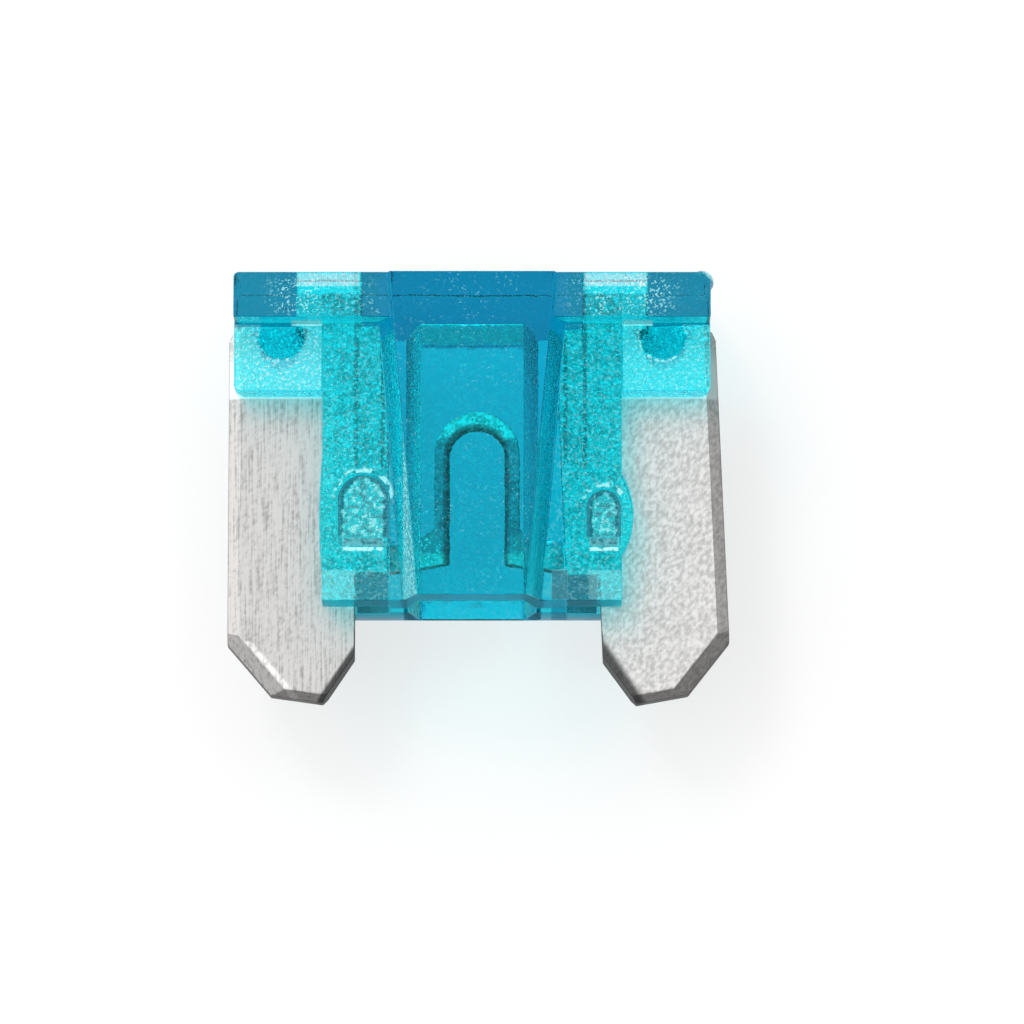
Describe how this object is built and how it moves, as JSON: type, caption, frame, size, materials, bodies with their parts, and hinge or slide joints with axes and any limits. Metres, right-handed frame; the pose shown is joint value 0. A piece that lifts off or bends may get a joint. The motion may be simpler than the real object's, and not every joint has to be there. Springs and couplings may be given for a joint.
{
  "type": "automotive blade fuse",
  "caption": "Low-profile mini blade fuse: clear blue plastic housing over a stamped metal element with flat blades, test tabs and an arched fuse link.",
  "frame": {"origin": "on the housing's flat back face, on the centre line between the blades, level with the underside of the head", "axes": "+X across both blades, +Y from the blades towards the head, +Z out of the front face; the fuse lies on its back"},
  "size_m": [0.0109, 0.0093, 0.0038],
  "materials": {
    "clear_plastic": "clear blue moulded plastic, smooth with light scratches",
    "zinc": "stamped zinc, brushed and lightly mottled"
  },
  "bodies": {
    "root": {"housing": "clear_plastic", "fuse_element": "zinc"}
  },
  "joints": []
}
